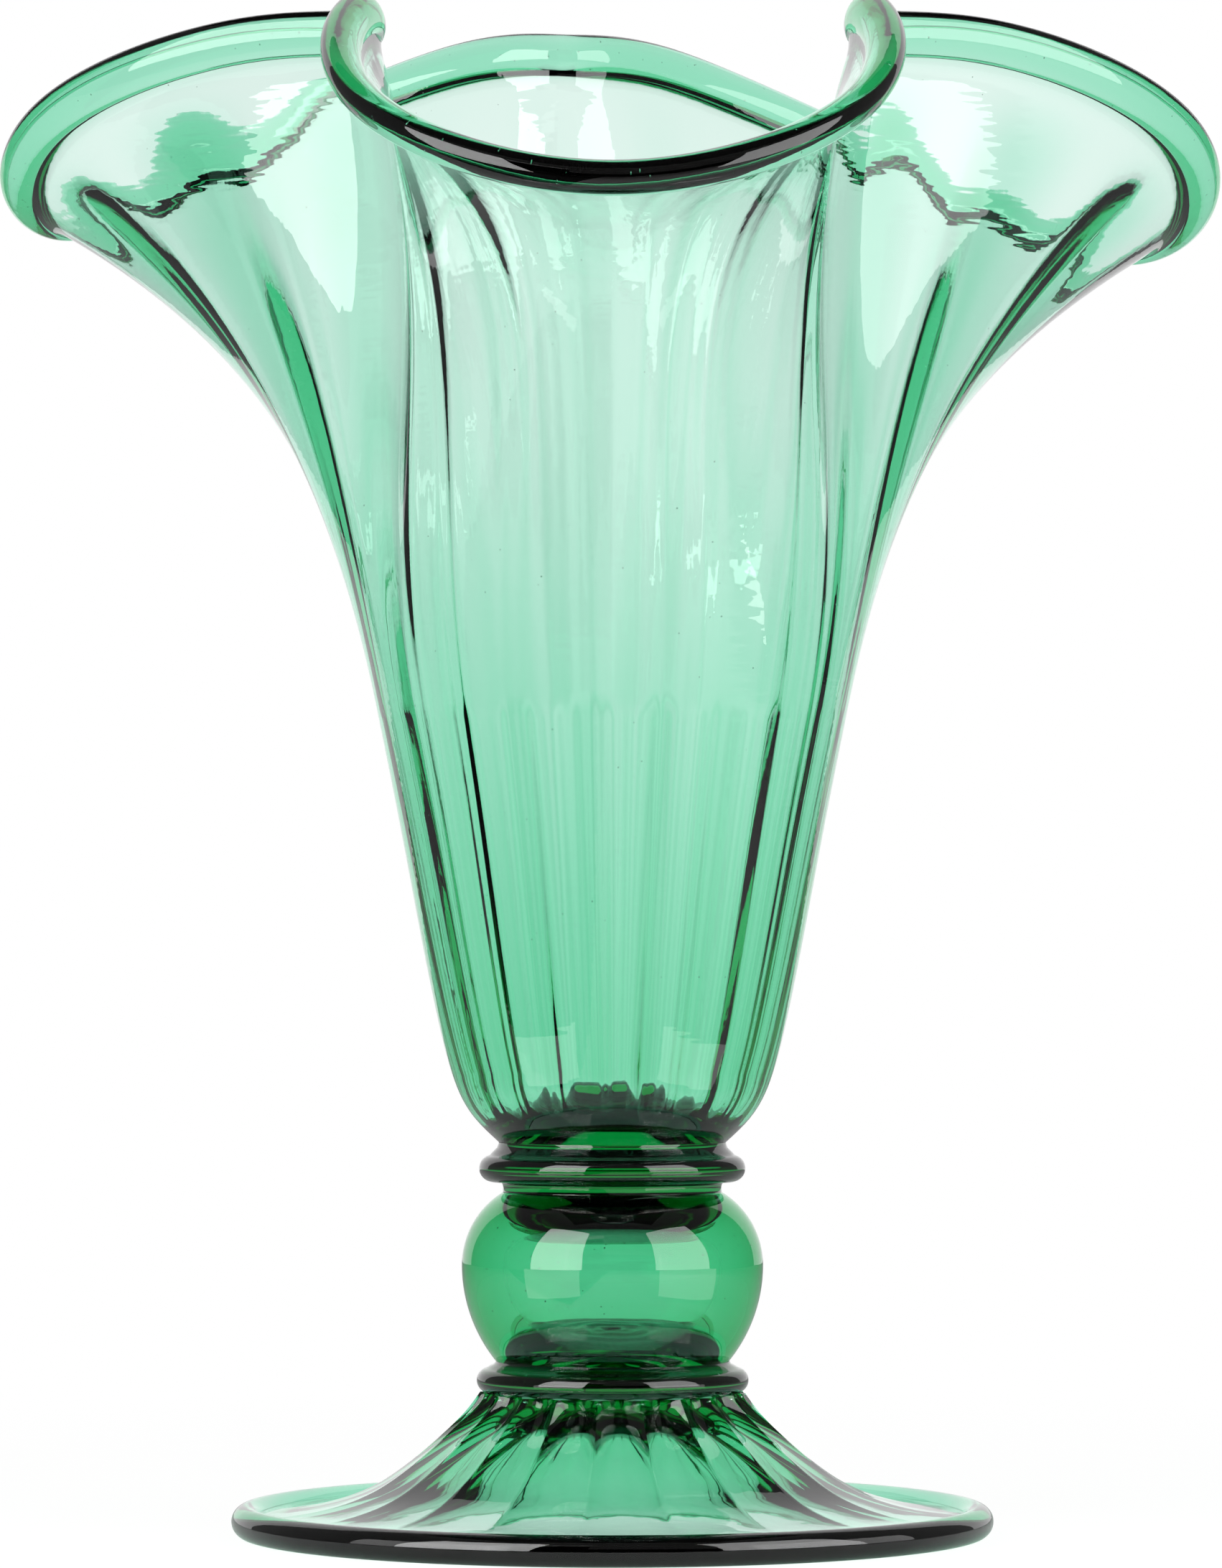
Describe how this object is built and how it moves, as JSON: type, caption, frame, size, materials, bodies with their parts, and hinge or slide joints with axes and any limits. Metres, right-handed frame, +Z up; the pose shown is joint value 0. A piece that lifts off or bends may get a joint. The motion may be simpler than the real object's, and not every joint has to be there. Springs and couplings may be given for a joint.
{
  "type": "glass fan vase",
  "caption": "Hand-blown glass vase: a flaring bowl with a three-lobed folded rim and thick lip, on a ball stem between two discs, over a fluted spreading foot.",
  "frame": {"origin": "centre of the foot on the plane it stands on, on the stem's axis", "axes": "+Z up the stem; -Y towards the front lobe, which faces the picture; +X to the right"},
  "size_m": [0.244, 0.2282, 0.3005],
  "materials": {
    "bowl_glass": "gloss",
    "lip_glass": "gloss",
    "stem_glass": "gloss",
    "ball_glass": "gloss",
    "foot_glass": "gloss"
  },
  "bodies": {
    "root": {"foot": "foot_glass", "foot_wrap": "stem_glass", "lower_disc": "stem_glass", "ball_knop": "ball_glass", "upper_disc": "stem_glass", "bowl": "bowl_glass", "lip_wrap": "lip_glass"}
  },
  "joints": []
}
